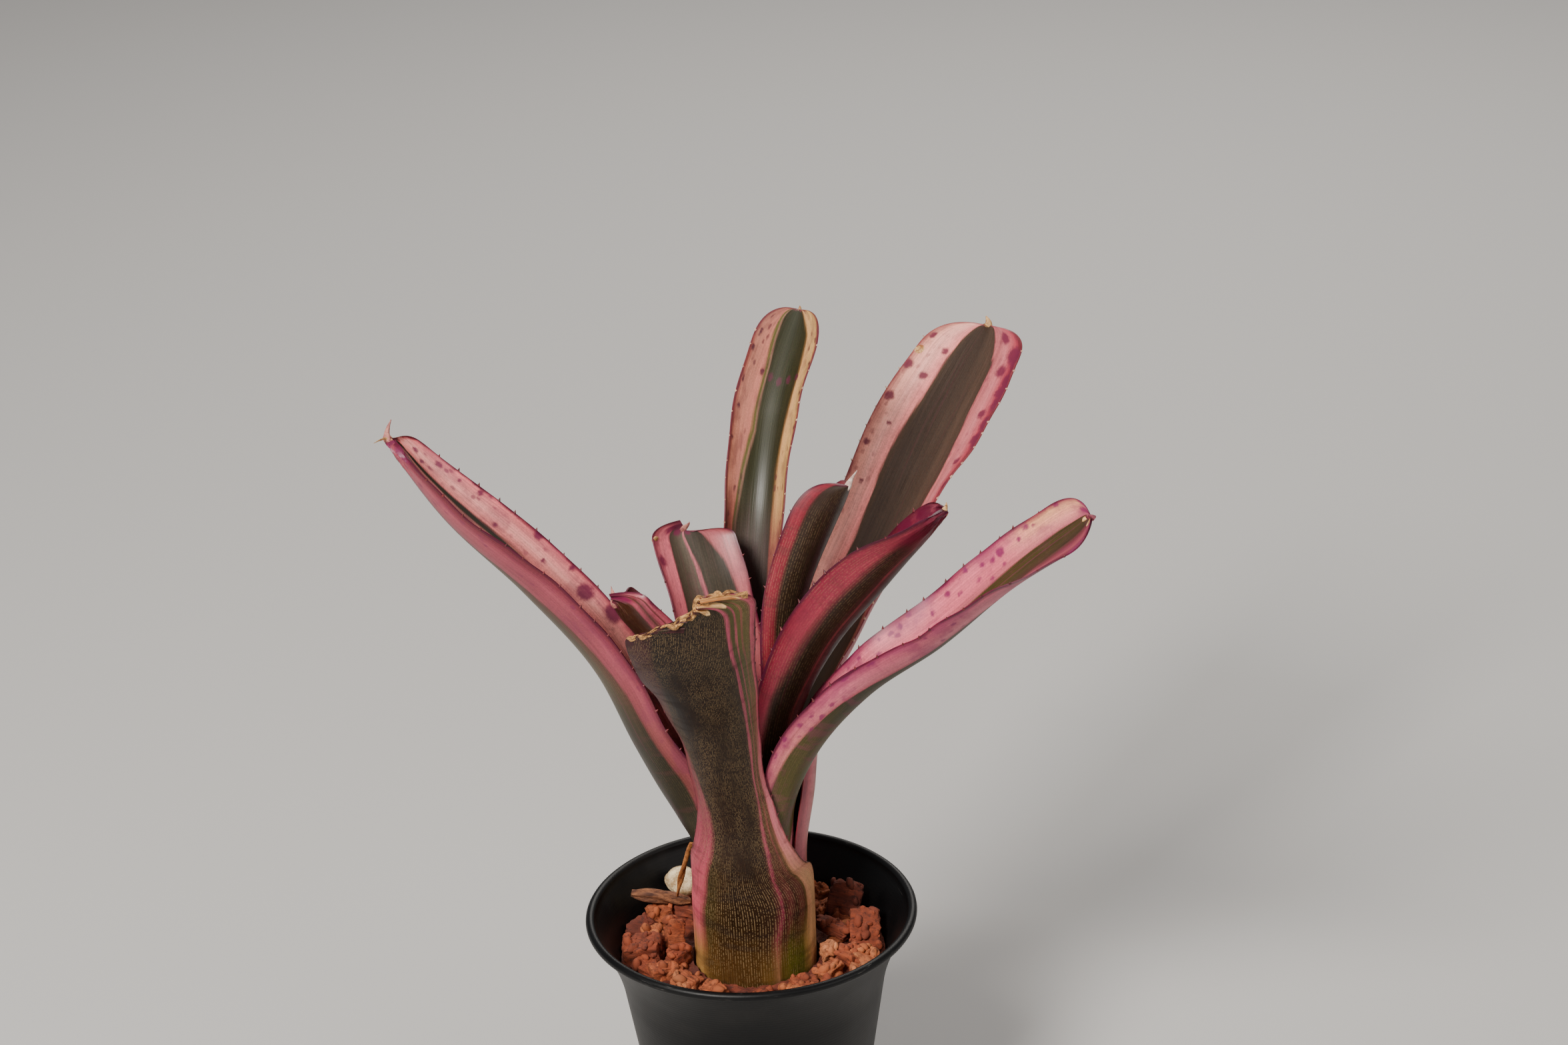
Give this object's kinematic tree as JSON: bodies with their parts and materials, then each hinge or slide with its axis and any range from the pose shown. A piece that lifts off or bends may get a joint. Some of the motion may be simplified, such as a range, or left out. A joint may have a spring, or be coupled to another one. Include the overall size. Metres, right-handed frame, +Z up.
{
  "type": "neoregelia bromeliad in a nursery pot",
  "caption": "Small variegated neoregelia bromeliad, its spiny strap leaves rising from an upright sheath tube, in a flared black nursery pot of coconut-husk chips.",
  "frame": {"origin": "centre of the pot's flat foot, on the surface it stands on", "axes": "+Z up along the pot's axis; +X to the right and +Y away, seen from the side of the shortest leaf, which faces -Y"},
  "size_m": [0.1794, 0.1666, 0.2295],
  "materials": {
    "pot_plastic": "satin black injection-moulded nursery plastic, lightly scuffed on the rim",
    "coconut_husk": "dry brick-red coconut-husk chips, fibrous and rough",
    "pebble_stone": "cream pumice pebble, dull",
    "dry_wood": "weathered brown splinter",
    "dry_leaf": "dried orange-brown leaf strip",
    "stem_tissue": "short pale woody stem inside the sheaths",
    "leaf_dark": "olive-brown strap leaf with pink margins and pale lines, satin with a fine powdery grain",
    "leaf_pink": "cream-pink variegated strap leaf with a dark olive centre band and magenta spots, satin",
    "leaf_green": "grey-green strap leaf with cream and pink margins, satin"
  },
  "bodies": {
    "root": {"pot": "pot_plastic", "husk_bed": "coconut_husk", "pebble": "pebble_stone", "splinter": "dry_wood", "dry_strand": "dry_leaf", "stem": "stem_tissue", "leaf_front": "leaf_dark", "leaf_left": "leaf_pink", "leaf_right": "leaf_pink", "leaf_back_right": "leaf_pink", "leaf_back": "leaf_green", "leaf_inner_left": "leaf_dark", "leaf_inner_right": "leaf_pink", "leaf_inner_back_right": "leaf_dark", "leaf_inner_back_left": "leaf_dark", "leaf_heart": "leaf_green"}
  },
  "joints": []
}
